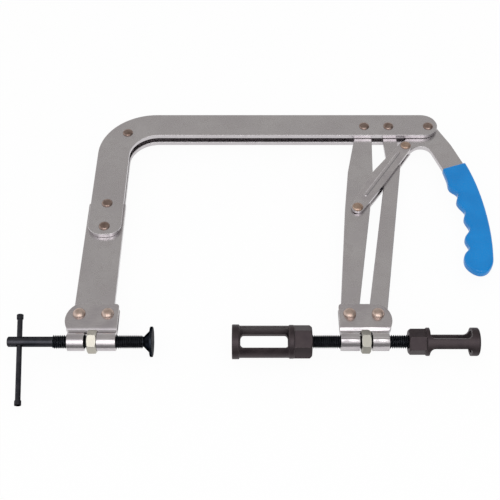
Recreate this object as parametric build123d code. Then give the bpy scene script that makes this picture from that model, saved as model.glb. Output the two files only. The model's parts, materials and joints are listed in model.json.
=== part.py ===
from build123d import *
import os
from math import asin, cos, degrees, radians, sin, sqrt

# Valve spring compressor, lying flat as on a bench.
# X runs along the screw axis towards the cage, Y from the screws up to the beam, and Z up.
# The origin is the centre of the swivel pad's face, on the screw axis.
# The tool is built in layers about Z = 0: a core of single plates, and side plates in pairs outside it.

os.makedirs("parts", exist_ok=True)

# Clearances
running_fit = 0.05      # radial, between a pin or screw and the hole that it turns in
rivet_fit = 0.02        # radial, between a rivet that doesn't turn and its hole
air = 0.35              # least gap between pieces that pass each other

# Side plates: the J-shaped frame is two of them with a gap between
plate_t = 4.7
frame_gap = 5.6
beam_w = 33.0
upper_leg_w = 33.5
outer_corner_r = 60.0
inner_corner_r = 30.0
leg_end_corner_r = 14.0
leg_end_y = 124.9       # lower end of the side plates
beam_overhang = 10.2    # from the lever's pivot to the round end of the beam
pivot_drop = 2.0        # from the beam's centre line down to the row of pivots
corner_rivet_in = 4.0   # from the leg's inner edge back to the corner rivet
corner_rivet_up = 3.8   # from the beam's lower edge up to the corner rivet
spacer_r = 8.0
plate_edge_r = 0.6      # rounding that stamping and tumbling leave on the plates' edges

# Lower leg: one plate held between the side plates and in the left bracket
leg_mid_x = -57.0
lower_leg_w = 37.4
lower_leg_shift = 0.3   # towards the outside, from the side plates' middle
lower_leg_foot_y = 12.6
lap_length = 53.5       # how far it reaches up between the side plates
lap_chamfer = 8.0
lap_rivet_first = 11.1  # from the side plates' lower end
lap_rivet_pitch = 31.4

# Arms: a parallelogram of two plates that carries the right bracket
core_t = 5.0
arm_pivot_x = 214.5
pivot_spacing = 26.6
arm_run = 256.9         # pivot to pivot
arm_lean = 7.25         # degrees from Y, foot towards the pad
inner_arm_top_r = 8.4
inner_arm_wide_r = 13.2
inner_arm_wide_run = 68.0
inner_arm_link_r = 12.8
inner_arm_foot_r = 8.4
outer_arm_top_r = 7.4
outer_arm_knee_r = 7.6
outer_arm_foot_r = 8.7
outer_arm_knee_run = 49.0
outer_arm_knee_out = 8.1

# Lever and links: a toggle that has just passed its dead point
lever_pivot_gap = 43.7  # from the outer arm's pivot
crank_r = 39.75
crank_angle = 43.6      # degrees from straight down, towards the arms
lever_eye_r = 10.5
crank_eye_r = 6.9
neck_r = 12.2
neck_side = 20.4        # neck centre, out from the lever's pivot
neck_drop = 56.5        # neck centre, down from the lever's pivot
back_r = 12.0           # the lever's back bows out halfway to the neck
back_out = 1.1
crook_r = 11.5          # hollow between the crank and the neck
link_hole_run = 120.7   # from the inner arm's pivot to the links' rivet
link_end_r = 6.6
link_wide_r = 9.4
link_wide_share = 0.45  # where the links are widest, as a share of the way from the arm to the crank
link_wide_out = 1.9     # how far they bulge there, away from the handle
link_t = 3.0
link_rib_w = 4.4
link_rib_h = 1.4
link_rib_out = 1.5      # the rib's line, out from the rivets' line
link_rib_low = 0.18     # the rib's ends, as shares of the same way
link_rib_top = 0.87
link_rivet_r = 2.8
link_slot_angle = 65.9  # degrees from X: the way the rivet runs in the arm's slot
link_slot_low = 4.1     # how far it runs down the slot
link_slot_high = 2.3

# Grip: a dipped skin on the lever's scalloped handle
grip_reach = 204.3      # from the lever's pivot down to the grip's end
grip_wall = 2.2
grip_edge_r = 2.7

# Rivets
rivet_r = 4.0
rivet_head_r = 5.6
rivet_head_h = 2.6
bracket_head_r = 6.0
bracket_head_h = 4.3

# Brackets: a sheet folded round a barrel that holds the screw, slotted for a nut
sheet_t = 1.95
barrel_bore_r = 6.55
barrel_inner = 23.2     # the barrel's reach from the bracket's middle, on the side of the jaws
barrel_outer = 21.2
bend_r = 7.0
bracket_top_y = 40.0
bracket_rivet_y = 28.6
bracket_corner_r = 3.0
lobe_r = 21.0
lobe_side = 4.9         # lobe centre from the bracket's middle
lobe_y = 22.2
nut_slot_w = 11.8
nut_slot_gap = 0.3      # between the slot's root and the nut's flat

# Screws and nuts
thread_r = 6.25         # half-inch screws, their crests a little flattened
nut_flats = 19.05
nut_t = 8.6
left_nut_shift = 1.4    # from the slot's middle, towards the pad
pad_r = 14.0
pad_rim_t = 2.5
pad_edge = 0.4
pad_hub_r = 10.6
pad_neck_r = 4.8
pad_length = 8.3
nose_r = 3.5
nose_length = 5.4
spindle_thread = 83.6
spindle_neck_r = 4.6
spindle_neck_length = 0.9
spindle_shank_r = 4.75
spindle_shank = 41.5
spindle_chamfer = 1.2
bar_in = 10.9           # from the shank's end to the tommy bar
bar_r = 2.45
bar_near = 61.2         # bar's length on the side that rests on the bench
bar_far = 27.0
bar_cap_r = 3.1
bar_cap_length = 4.0
bar_tilt = 4.8          # degrees that the bar leans in its loose hole
bar_fit = 0.03

# Cage adapter, with a window through both sides
jaw_opening = 72.6      # from the pad's face to the cage's mouth
cage_collar_r = 15.95
cage_collar = 7.1
cage_body_r = 14.8
cage_wall = 2.7
cage_length = 52.8      # mouth to the ring
cage_ring = 4.2
cage_ring_r = 15.5
cage_hex_flats = 26.8
cage_hex = 16.2
cage_window_w = 21.0
cage_window_start = 7.5
cage_window_end = 51.7
cage_window_corner = 3.2
cage_turn = 10.7        # degrees from Z to the windows' axis, leaning away from the beam
cage_hex_turn = 25.0
cage_edge = 0.9
cage_seat_r = 12.8      # recess in the mouth that centres a retainer
cage_seat = 5.5

# Two-legged adapter, on the other end of the same stud
stud_tail = 17.8        # thread that shows between the right bracket's barrel and this adapter
legged_hex_flats = 21.1
legged_hex = 15.3
legged_r = 13.05
legged_collar = 3.4
legged_leg = 38.3
legged_ring = 7.2
legged_wall = 3.0
legged_leg_w = 9.4
legged_edge = 1.6
legged_seat_r = 10.7    # recess in the ring that centres a retainer
legged_seat = 5.0
legged_corner = 4.5
legged_turn = 45.0
stud_chamfer = 1.0

# Places that follow from the sizes above
pivot_y = bracket_rivet_y + arm_run * cos(radians(arm_lean))
beam_low_y = pivot_y + pivot_drop - beam_w / 2
beam_top_y = beam_low_y + beam_w
foot_x = arm_pivot_x - arm_run * sin(radians(arm_lean))
right_mid_x = foot_x + pivot_spacing / 2
left_mid_x = leg_mid_x
outer_pivot_x = arm_pivot_x + pivot_spacing
lever_x = outer_pivot_x + lever_pivot_gap
crank_x = lever_x - crank_r * sin(radians(crank_angle))
crank_y = pivot_y - crank_r * cos(radians(crank_angle))
link_foot_x = arm_pivot_x - link_hole_run * sin(radians(arm_lean))
link_foot_y = pivot_y - link_hole_run * cos(radians(arm_lean))
barrel_r = barrel_bore_r + sheet_t
frame_half = frame_gap / 2 + plate_t
bracket_half = frame_gap / 2 + sheet_t
link_half = frame_gap / 2 + link_t
cage_ring_x = jaw_opening + cage_length
cage_end_x = cage_ring_x + cage_ring + cage_hex
legged_x = right_mid_x + barrel_outer + stud_tail
shank_x = -pad_length - spindle_thread
bar_x = shank_x - spindle_shank + bar_in


def slab(sketch, thickness, middle=0.0):
    """A flat plate of the sketch's outline, its thickness centred on the height given."""
    return extrude(Plane.XY.offset(middle - thickness / 2) * sketch, thickness)


def softened(body, radius):
    """The plate with the edges of its outline rounded on both faces."""
    ends = body.faces().sort_by(Axis.Z)
    return fillet(ends[0].outer_wire().edges() + ends[-1].outer_wire().edges(), radius)


def disc(x, y, radius):
    """A circle at a place in the plane of the tool."""
    return Pos(x, y) * Circle(radius)


def strap(x1, y1, r1, x2, y2, r2):
    """The outline that wraps two circles, as a belt does."""
    return make_hull((disc(x1, y1, r1) + disc(x2, y2, r2)).edges())


def block(x1, x2, y1, y2):
    """A rectangle between two corners."""
    return Pos((x1 + x2) / 2, (y1 + y2) / 2) * Rectangle(x2 - x1, y2 - y1)


def corner(outline, x, y):
    """The outline's vertex nearest a point, for rounding or bevelling."""
    return outline.vertices().sort_by_distance(Vector(x, y, 0))[0:1]


def turned(*profile):
    """A solid turned about the screw axis from a profile of (x, radius) points."""
    return revolve(make_face(Polyline(*profile, close=True)), Axis.X)


def hex_bar(x1, x2, flats, turn):
    """A hexagon along the screw axis, with one flat facing the given angle from Z."""
    outline = RegularPolygon(flats / 2, 6, major_radius=False, rotation=turn)
    return extrude(Plane.YZ.offset(x1) * outline, x2 - x1)


def along_axis(x1, x2, radius):
    """A plain cylinder on the screw axis."""
    return extrude(Plane.YZ.offset(x1) * Circle(radius), x2 - x1)


def rivet(x, y, shank_r, half_stack, head_r, head_h):
    """A rivet through the whole stack, with a flattened dome for a head on each face."""
    high = half_stack
    end = high + head_h
    pull_r, pull_h = 0.55 * head_r, high + 0.55 * head_h   # makes each dome a quarter ellipse
    top = Bezier((0, end), (pull_r, end), (head_r, pull_h), (head_r, high))
    low = Bezier((head_r, -high), (head_r, -pull_h), (pull_r, -end), (0, -end))
    side = Polyline((head_r, high), (shank_r, high), (shank_r, -high), (head_r, -high))
    back = Line((0, -high - head_h), (0, high + head_h))
    profile = Plane.XZ * make_face(Curve() + [top, side, low, back])
    return Pos(x, y) * revolve(profile, Axis.Z)


def side_plate_outline():
    """The J outline: the beam, the upper leg and the rivet holes."""
    leg_left = leg_mid_x - upper_leg_w / 2
    leg_right = leg_mid_x + upper_leg_w / 2
    beam_end = lever_x + beam_overhang
    end_r = beam_w / 2 - 0.01
    shape = block(leg_left, beam_end, beam_low_y, beam_top_y)
    shape += block(leg_left, leg_right, leg_end_y, beam_top_y)
    shape = fillet(corner(shape, leg_left, beam_top_y), outer_corner_r)
    shape = fillet(corner(shape, leg_right, beam_low_y), inner_corner_r)
    for y in (beam_low_y, beam_top_y):
        shape = fillet(corner(shape, beam_end, y), end_r)
    for x in (leg_left, leg_right):
        shape = fillet(corner(shape, x, leg_end_y), leg_end_corner_r)
    for x, y in frame_rivet_places + arm_pivot_places + [(lever_x, pivot_y)]:
        shape -= disc(x, y, rivet_r + rivet_fit)
    return shape


def make_lower_leg():
    """The plate that carries the left bracket, its hidden top corners cut off."""
    left = leg_mid_x - lower_leg_shift - lower_leg_w / 2
    right = left + lower_leg_w
    top = leg_end_y + lap_length
    shape = block(left, right, lower_leg_foot_y, top)
    for x in (left, right):
        shape = chamfer(corner(shape, x, top), lap_chamfer)
    for x, y in lap_rivet_places + left_bracket_rivet_places:
        shape -= disc(x, y, rivet_r + rivet_fit)
    return softened(slab(shape, frame_gap), plate_edge_r)


def make_bracket(mid_x, lobe_sign):
    """A sheet folded round the screw: two plates above, a barrel below, and a slot for the nut."""
    fold = Circle(barrel_r) + block(0, bracket_top_y, -bracket_half, bracket_half)
    meet_y = sqrt(barrel_r**2 - bracket_half**2)
    for z in (-bracket_half, bracket_half):
        fold = fillet(corner(fold, meet_y, z), bend_r)
    fold -= Circle(barrel_bore_r) + block(0, bracket_top_y, -frame_gap / 2, frame_gap / 2)
    length = 2 * (barrel_inner + lobe_r)
    body = extrude(Plane.YZ.offset(mid_x - length / 2) * fold, length)
    plain = block(-lobe_side, barrel_inner, 0, bracket_top_y)
    plain = fillet(corner(plain, barrel_inner, bracket_top_y), bracket_corner_r)
    lobe = disc(-lobe_side, lobe_y, lobe_r) & block(-2 * lobe_r, 2 * lobe_r, 0, bracket_top_y)
    side = block(-barrel_outer, barrel_inner, -barrel_r, barrel_r) + lobe + plain
    side = Pos(mid_x) * (side if lobe_sign < 0 else mirror(side, Plane.YZ))
    body &= slab(side, 4 * barrel_r)
    slot_root = nut_flats / 2 + nut_slot_gap
    slot = block(mid_x - nut_slot_w / 2, mid_x + nut_slot_w / 2, -2 * barrel_r, slot_root)
    body -= slab(slot, 4 * barrel_r)
    for side_sign in (-1, 1):
        hole = disc(mid_x + side_sign * pivot_spacing / 2, bracket_rivet_y, rivet_r + rivet_fit)
        body -= slab(hole, 4 * barrel_r)
    return body


def make_nut(mid_x):
    """A plain hexagon nut with bevelled corners, one flat against the root of the bracket's slot."""
    x1 = mid_x - nut_t / 2
    x2 = mid_x + nut_t / 2
    corner_r = nut_flats / sqrt(3)
    face_r = nut_flats / 2
    bevel = (corner_r - face_r) * 0.7
    body = hex_bar(x1, x2, nut_flats, 90)
    body &= turned((x1, 0), (x1, face_r), (x1 + bevel, corner_r),
                   (x2 - bevel, corner_r), (x2, face_r), (x2, 0))
    return body - along_axis(x1, x2, thread_r + running_fit)


def on_arm(pivot_x, run, out=0.0):
    """A point on an arm: so far down from its pivot, and so far out from its centre line."""
    lean = radians(arm_lean)
    return pivot_x - run * sin(lean) + out * cos(lean), pivot_y - run * cos(lean) - out * sin(lean)


def make_inner_arm():
    """The arm that the links pull: widest where it carries their rivet, which runs in a short slot."""
    top = on_arm(arm_pivot_x, 0)
    wide = on_arm(arm_pivot_x, inner_arm_wide_run)
    mid = on_arm(arm_pivot_x, link_hole_run)
    foot = on_arm(arm_pivot_x, arm_run)
    shape = strap(*top, inner_arm_top_r, *wide, inner_arm_wide_r)
    shape += strap(*wide, inner_arm_wide_r, *mid, inner_arm_link_r)
    shape += strap(*mid, inner_arm_link_r, *foot, inner_arm_foot_r)
    for x, y in (top, foot):
        shape -= disc(x, y, rivet_r + running_fit)
    ux = cos(radians(link_slot_angle))
    uy = sin(radians(link_slot_angle))
    slot_r = link_rivet_r + air
    shape -= strap(link_foot_x - ux * link_slot_low, link_foot_y - uy * link_slot_low, slot_r,
                   link_foot_x + ux * link_slot_high, link_foot_y + uy * link_slot_high, slot_r)
    return softened(slab(shape, core_t), plate_edge_r)


def make_outer_arm():
    """The second arm, bent at a knee to clear the first one's wide part."""
    top = on_arm(outer_pivot_x, 0)
    knee = on_arm(outer_pivot_x, outer_arm_knee_run, outer_arm_knee_out)
    foot = on_arm(outer_pivot_x, arm_run)
    shape = strap(*top, outer_arm_top_r, *knee, outer_arm_knee_r)
    shape += strap(*knee, outer_arm_knee_r, *foot, outer_arm_foot_r)
    for x, y in (top, foot):
        shape -= disc(x, y, rivet_r + running_fit)
    return softened(slab(shape, core_t), plate_edge_r)


def grip_edge(inset=0.0):
    """The grip's edge: four finger grooves inside, a bulb at the end and a long bow outside.
    With an inset, it is the same curve moved in, for the lever's tail inside the skin."""
    marks = [(8.8, -61.8), (10.4, -71), (11.5, -80), (12, -88), (14.4, -92), (18.3, -95.4), (19.8, -99.6),
             (17.5, -107.5), (20.2, -115.8), (23.9, -124), (21.7, -131.5), (22.8, -138), (25.2, -146.5),
             (18.5, -160.6), (21, -172.8), (16.9, -178.3), (14.2, -185.5), (14.6, -192),
             (17.4, -197.4), (23.1, -202.6), (28.2, -204.3), (34.2, -202.7), (39, -197.8), (42.2, -191),
             (43.6, -183), (44.7, -173), (46, -143), (44.6, -110.8), (40.4, -78.6), (34.2, -52.4)]
    scale = grip_reach / 204.3
    curve = Spline(*[(lever_x + x * scale, pivot_y + y * scale) for x, y in marks])
    if inset:
        moved = []
        for n in range(4 * len(marks) + 1):
            share = n / (4 * len(marks))
            moved.append(curve @ share + Vector(-(curve % share).Y, (curve % share).X) * inset)
        curve = Spline(*moved)
    return make_face(Curve() + [curve, Line(curve @ 1, curve @ 0)])


def make_lever():
    """The handle plate: an eye on the frame, a crank towards the links and a scalloped tail in the grip."""
    neck_x = lever_x + neck_side
    neck_y = pivot_y - neck_drop
    crank = strap(lever_x, pivot_y, lever_eye_r, crank_x, crank_y, crank_eye_r)
    tail = disc(lever_x, pivot_y, lever_eye_r) + disc(neck_x, neck_y, neck_r)
    back_x, back_y = lever_x + neck_side / 2 + back_out, pivot_y - neck_drop / 2
    shape = crank + make_hull((tail + disc(back_x, back_y, back_r)).edges())
    crook = [v for v in shape.vertices() if v.X < lever_x and crank_y < v.Y < pivot_y - lever_eye_r]
    crook = sorted(crook, key=lambda v: -v.X)[0:1]
    shape = fillet(crook, crook_r)
    holes = disc(lever_x, pivot_y, rivet_r + running_fit) + disc(crank_x, crank_y, link_rivet_r + running_fit)
    body = softened(slab(shape, core_t), plate_edge_r)
    return body + slab(grip_edge(grip_wall), core_t) - slab(holes, 2 * core_t)


def make_grip(lever_plate):
    """The soft skin round the lever's tail, with rounded rims."""
    body = slab(grip_edge(), core_t + 2 * grip_wall)
    rims = body.edges().filter_by_position(Axis.Z, core_t / 2 + grip_wall, core_t / 2 + grip_wall)
    rims += body.edges().filter_by_position(Axis.Z, -core_t / 2 - grip_wall, -core_t / 2 - grip_wall)
    body = fillet(rims, grip_edge_r)
    return body - lever_plate


def on_link(share, out=0.0):
    """A point on a link: a share of the way from the arm to the crank, and so far out from that line."""
    along_x = crank_x - link_foot_x
    along_y = crank_y - link_foot_y
    length = sqrt(along_x**2 + along_y**2)
    return (link_foot_x + share * along_x - out * along_y / length,
            link_foot_y + share * along_y + out * along_x / length)


def make_link(face_sign):
    """One of the pair of links: a boat-shaped plate, stiffened by a pressed rib on its outer face."""
    wide = on_link(link_wide_share, link_wide_out)
    ends = disc(*on_link(0), link_end_r) + disc(*on_link(1), link_end_r)
    shape = make_hull((ends + disc(*wide, link_wide_r)).edges())
    for share in (0, 1):
        shape -= disc(*on_link(share), link_rivet_r + rivet_fit)
    body = softened(slab(shape, link_t, frame_gap / 2 + link_t / 2), plate_edge_r)
    rib_r = link_rib_w / 2
    rib_low = on_link(link_rib_low, link_rib_out)
    rib_top = on_link(link_rib_top, link_rib_out)
    rib = strap(*rib_low, rib_r, *rib_top, rib_r)
    rib = slab(rib, link_rib_h, link_half + link_rib_h / 2)
    rib = fillet(rib.faces().sort_by(Axis.Z)[-1].edges(), 0.8 * link_rib_h)
    body += rib
    return body if face_sign > 0 else mirror(body, Plane.XY)


def make_spindle():
    """The forcing screw: a nose for the pad, the thread, and a shank drilled for the tommy bar."""
    neck_x = -pad_length - spindle_neck_length
    end_x = shank_x - spindle_shank
    body = turned((-pad_length + nose_length, 0), (-pad_length + nose_length, nose_r), (-pad_length, nose_r),
                  (-pad_length, spindle_neck_r), (neck_x, spindle_neck_r), (neck_x, thread_r),
                  (shank_x, thread_r), (shank_x, spindle_shank_r), (end_x + spindle_chamfer, spindle_shank_r),
                  (end_x, spindle_shank_r - spindle_chamfer), (end_x, 0))
    lean = radians(bar_tilt)
    hole_r = bar_r / cos(lean) + spindle_shank_r * sin(lean) / cos(lean) + bar_fit
    return body - across(hole_r, spindle_shank_r + hole_r, -spindle_shank_r - hole_r, 0)


def across(radius, near, far, lean):
    """A cylinder across the spindle, between two distances from its axis.
    Its near side slopes down to the bench, as deep as the cage's collar, and it leans along the spindle."""
    drop = asin((cage_collar_r - bar_cap_r) / bar_near)
    side = radians(lean)
    way = Vector(sin(side), -cos(side) * cos(drop), -cos(side) * sin(drop))
    line = Plane(origin=(bar_x, 0, 0), z_dir=way)
    return extrude(line.offset(far) * Circle(radius), near - far)


def make_bar_caps():
    """The two swaged ends that keep the bar in its hole."""
    near = across(bar_cap_r, bar_near, bar_near - bar_cap_length, bar_tilt)
    far = across(bar_cap_r, -bar_far + bar_cap_length, -bar_far, bar_tilt)
    bar = make_bar()
    return Compound(children=[cap - bar for cap in (near, far)])


def make_bar():
    """The plain rod, which ends halfway into its swaged ends."""
    return across(bar_r, bar_near - bar_cap_length / 2, -bar_far + bar_cap_length / 2, bar_tilt)


def make_pad():
    """The swivel pad: a flat disc on a conical hub, bored for the spindle's nose."""
    inner_r = pad_r - pad_edge
    body = turned((-pad_length, 0), (-pad_length, pad_neck_r), (-pad_rim_t, pad_hub_r), (-pad_rim_t, inner_r),
                  (pad_edge - pad_rim_t, pad_r), (-pad_edge, pad_r), (0, inner_r), (0, 0))
    bore_end = -pad_length + nose_length + air
    return body - along_axis(-pad_length, bore_end, nose_r + running_fit)


def make_stud():
    """The threaded stud that carries an adapter on each end."""
    x1 = cage_ring_x + stud_chamfer
    x2 = legged_x + legged_hex + legged_collar - stud_chamfer
    c = stud_chamfer
    return turned((x1, 0), (x1, thread_r - c), (x1 + c, thread_r),
                  (x2 - c, thread_r), (x2, thread_r - c), (x2, 0))


def make_cage():
    """The cage adapter: a windowed tube with a collar at its mouth and a hexagon that takes the stud."""
    hex_x = cage_ring_x + cage_ring
    collar_x = jaw_opening + cage_collar
    rim_r = cage_collar_r - cage_edge / 2
    body = turned((jaw_opening, 0), (jaw_opening, rim_r), (jaw_opening + cage_edge / 2, cage_collar_r),
                  (collar_x - cage_edge, cage_collar_r), (collar_x, cage_body_r),
                  (cage_ring_x - cage_edge, cage_body_r), (cage_ring_x, cage_ring_r),
                  (hex_x - cage_edge, cage_ring_r), (hex_x, cage_ring_r - cage_edge / 2), (hex_x, 0))
    corner_r = cage_hex_flats / sqrt(3)
    bevel = corner_r - cage_hex_flats / 2
    hexagon = hex_bar(hex_x, cage_end_x, cage_hex_flats, cage_hex_turn)
    hexagon &= turned((hex_x, 0), (hex_x, corner_r), (cage_end_x - bevel, corner_r),
                      (cage_end_x, cage_hex_flats / 2), (cage_end_x, 0))
    body += hexagon
    body -= along_axis(jaw_opening, cage_ring_x, cage_body_r - cage_wall)
    body -= along_axis(jaw_opening, jaw_opening + cage_seat, cage_seat_r)
    body -= along_axis(cage_ring_x, cage_end_x, thread_r + rivet_fit)
    window = block(jaw_opening + cage_window_start, jaw_opening + cage_window_end,
                   -cage_window_w / 2, cage_window_w / 2)
    window = fillet(window.vertices(), cage_window_corner)
    return body - Rot(X=cage_turn) * slab(window, 4 * cage_body_r)


def make_legged_adapter():
    """The smaller adapter: a tube cut away to two legs between its collar and its end ring."""
    hex_end = legged_x + legged_hex
    leg_x = hex_end + legged_collar
    ring_x = leg_x + legged_leg
    end_x = ring_x + legged_ring
    corner_r = legged_hex_flats / sqrt(3)
    bevel = corner_r - legged_hex_flats / 2
    body = hex_bar(legged_x, hex_end, legged_hex_flats, legged_turn)
    body &= turned((legged_x, 0), (legged_x, legged_hex_flats / 2), (legged_x + bevel, corner_r),
                   (hex_end, corner_r), (hex_end, 0))
    tube = along_axis(hex_end, end_x, legged_r)
    body += fillet(tube.edges().filter_by(GeomType.CIRCLE), legged_edge)
    body -= along_axis(legged_x, leg_x, thread_r + rivet_fit)
    body -= along_axis(leg_x, end_x, legged_r - legged_wall)
    body -= along_axis(end_x - legged_seat, end_x, legged_seat_r)
    for side_sign in (-1, 1):
        inner = side_sign * legged_leg_w / 2
        outer = side_sign * 2 * legged_r
        cut = block(leg_x, ring_x, min(inner, outer), max(inner, outer))
        for x in (leg_x, ring_x):
            cut = fillet(corner(cut, x, inner), legged_corner)
        body -= Rot(X=legged_turn) * slab(cut, 4 * legged_r)
    return body


lap_rivet_places = [(leg_mid_x, leg_end_y + lap_rivet_first + n * lap_rivet_pitch) for n in (0, 1)]
corner_rivet = (leg_mid_x + upper_leg_w / 2 - corner_rivet_in, beam_low_y + corner_rivet_up)
frame_rivet_places = lap_rivet_places + [corner_rivet]
arm_pivot_places = [(arm_pivot_x, pivot_y), (outer_pivot_x, pivot_y)]
left_bracket_rivet_places = [(left_mid_x + side * pivot_spacing / 2, bracket_rivet_y) for side in (-1, 1)]
right_bracket_rivet_places = [(right_mid_x + side * pivot_spacing / 2, bracket_rivet_y) for side in (-1, 1)]


def rivets(places, *sizes):
    """Identical rivets as one group of separate solids."""
    return Compound(children=[rivet(x, y, *sizes) for x, y in places])


frame_rivet = (rivet_r, frame_half, rivet_head_r, rivet_head_h)
link_rivet = (link_rivet_r, link_half, rivet_head_r, rivet_head_h)
bracket_rivet = (rivet_r, bracket_half, bracket_head_r, bracket_head_h)

side_plate = side_plate_outline()
lever_plate = make_lever()
spacer = disc(*corner_rivet, spacer_r) - disc(*corner_rivet, rivet_r + rivet_fit)

nodes = {
    "front_side_plate": softened(slab(side_plate, plate_t, (frame_gap + plate_t) / 2), plate_edge_r),
    "rear_side_plate": softened(slab(side_plate, plate_t, -(frame_gap + plate_t) / 2), plate_edge_r),
    "lower_leg": make_lower_leg(),
    "corner_spacer": slab(spacer, frame_gap),
    "frame_rivets": rivets(frame_rivet_places, *frame_rivet),
    "arm_pivot_rivets": rivets(arm_pivot_places, *frame_rivet),
    "lever_pivot_rivet": rivet(lever_x, pivot_y, *frame_rivet),
    "left_bracket": make_bracket(left_mid_x, -1),
    "left_bracket_rivets": rivets(left_bracket_rivet_places, *bracket_rivet),
    "left_nut": make_nut(left_mid_x + left_nut_shift),
    "lever_plate": lever_plate,
    "handle_grip": make_grip(lever_plate),
    "front_link": make_link(1),
    "rear_link": make_link(-1),
    "link_crank_rivet": rivet(crank_x, crank_y, *link_rivet),
    "link_arm_rivet": rivet(link_foot_x, link_foot_y, *link_rivet),
    "inner_arm": make_inner_arm(),
    "outer_arm": make_outer_arm(),
    "right_bracket": make_bracket(right_mid_x, 1),
    "right_bracket_rivets": rivets(right_bracket_rivet_places, *bracket_rivet),
    "right_nut": make_nut(right_mid_x),
    "adapter_stud": make_stud(),
    "cage_adapter": make_cage(),
    "two_leg_adapter": make_legged_adapter(),
    "swivel_pad": make_pad(),
    "forcing_spindle": make_spindle(),
    "tommy_bar": make_bar(),
    "tommy_bar_caps": make_bar_caps(),
}

for name, shape in nodes.items():
    export_step(shape, f"parts/{name}.step")

print("lever pivot", round(lever_x, 2), round(pivot_y, 2), "crank rivet", round(crank_x, 2), round(crank_y, 2))
print("link foot", round(link_foot_x, 2), round(link_foot_y, 2), "arm pivots", arm_pivot_x, round(outer_pivot_x, 2))
print("right bracket", round(right_mid_x, 2), "cage end", round(cage_end_x, 2), "legged adapter", round(legged_x, 2))
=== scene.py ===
# %% [markdown]
# # A valve spring compressor
# This tool lies on a white bench, as in a product photograph. Its plates, rivets, nuts and adapters
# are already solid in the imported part, so this lesson does what a solid model leaves out: it cuts
# real screw threads, dips the handle in vinyl, and gives each piece the finish of its metal.
# Everything is in metres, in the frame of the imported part, so each piece goes where the part says.

# %% Load the part
import json
from math import asin, atan2, cos, degrees, pi, radians, sin, tan

import bpy
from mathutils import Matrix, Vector


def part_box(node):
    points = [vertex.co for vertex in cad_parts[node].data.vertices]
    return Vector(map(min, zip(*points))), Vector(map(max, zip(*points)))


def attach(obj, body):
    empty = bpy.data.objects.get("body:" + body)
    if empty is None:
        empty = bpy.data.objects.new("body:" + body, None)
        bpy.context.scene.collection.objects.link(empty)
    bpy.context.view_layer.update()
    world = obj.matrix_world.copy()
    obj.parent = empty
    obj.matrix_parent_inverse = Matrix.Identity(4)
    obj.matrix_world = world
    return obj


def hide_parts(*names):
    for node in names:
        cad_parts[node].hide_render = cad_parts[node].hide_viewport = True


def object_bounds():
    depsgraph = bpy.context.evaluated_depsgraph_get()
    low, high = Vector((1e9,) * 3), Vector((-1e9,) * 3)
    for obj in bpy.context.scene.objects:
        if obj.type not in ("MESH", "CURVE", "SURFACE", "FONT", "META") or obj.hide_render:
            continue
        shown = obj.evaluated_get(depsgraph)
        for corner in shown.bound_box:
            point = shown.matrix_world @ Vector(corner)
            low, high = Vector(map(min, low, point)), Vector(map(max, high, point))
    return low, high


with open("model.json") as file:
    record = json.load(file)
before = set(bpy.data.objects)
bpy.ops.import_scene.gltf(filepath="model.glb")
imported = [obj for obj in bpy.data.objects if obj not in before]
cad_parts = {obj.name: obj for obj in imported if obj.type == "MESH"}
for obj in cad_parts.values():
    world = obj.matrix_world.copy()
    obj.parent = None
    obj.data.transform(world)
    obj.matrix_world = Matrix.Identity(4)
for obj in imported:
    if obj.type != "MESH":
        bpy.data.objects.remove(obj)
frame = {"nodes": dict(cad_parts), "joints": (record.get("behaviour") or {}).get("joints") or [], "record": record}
cad_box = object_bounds()
nodes = frame["nodes"]
print("pieces:", len(nodes), "lowest corner:", cad_box[0], "highest corner:", cad_box[1])

# %% [markdown]
# Sizes are easier to read in millimetres, and colours as the hex values of a paint chart. Two
# helpers turn both into what Blender takes. The third clears the selection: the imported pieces
# arrive selected, and an operator acts on all that is selected.

# %% Helpers
mm = 0.001
scene = bpy.context.scene


def linear(hex_colour):
    """An sRGB hex colour as the linear RGBA that a shader takes."""
    shares = [int(hex_colour[i:i + 2], 16) / 255 for i in (1, 3, 5)]
    return tuple(s / 12.92 if s <= 0.04045 else ((s + 0.055) / 1.055) ** 2.4 for s in shares) + (1.0,)


def select_only(*pieces):
    """Selects these objects and nothing else. The last one becomes the active one."""
    bpy.ops.object.select_all(action="DESELECT")
    for piece in pieces:
        piece.select_set(True)
        bpy.context.view_layer.objects.active = piece


def finish_modifiers(piece):
    """Applies every modifier of a piece, top to bottom."""
    select_only(piece)
    for modifier in list(piece.modifiers):
        bpy.ops.object.modifier_apply(modifier=modifier.name)


def seat(piece, name):
    """Names a piece and bakes its place into its mesh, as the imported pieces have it."""
    piece.name = name
    piece.data.name = name
    select_only(piece)
    bpy.ops.object.transform_apply(location=True, rotation=True, scale=True)
    print(name, "faces:", len(piece.data.polygons))
    return piece


print("white is", linear("#FFFFFF"), "and mid grey is", linear("#808080"))

# %% [markdown]
# The camera comes first, because it decides which details show. The photograph was taken with a
# long lens from above the near side, about fifty degrees up, and aimed at the middle of the throat.

# %% Camera
camera_data = bpy.data.cameras.new("photo_camera")
camera_data.sensor_width = 36
camera_data.lens = 70.7
camera_data.clip_start = 0.01
camera = bpy.data.objects.new("photo_camera", camera_data)
scene.collection.objects.link(camera)
camera.location = (0.0891, -0.5213, 0.7400)
throat_middle = Vector((0.0891, 0.1048, 0.0070))
camera.rotation_euler = (throat_middle - camera.location).to_track_quat("-Z", "Y").to_euler()
scene.camera = camera
print("camera distance:", round((throat_middle - camera.location).length, 3), "m")

# %% [markdown]
# ## Screw threads
# Both screws are half-inch bars with thirteen turns to the inch, so the groove climbs 1.954 mm in
# each turn, with flanks at sixty degrees. A bump map can't give the saw-toothed outline that the
# eye expects, so the groove is modelled. One tooth's outline is drawn by extruding a single point,
# and the Screw modifier winds it round the axis. The winding is longer than needed. A turned blank
# with bevelled ends then trims it, as the bevel on a real bar gives the thread its lead-in.

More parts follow.
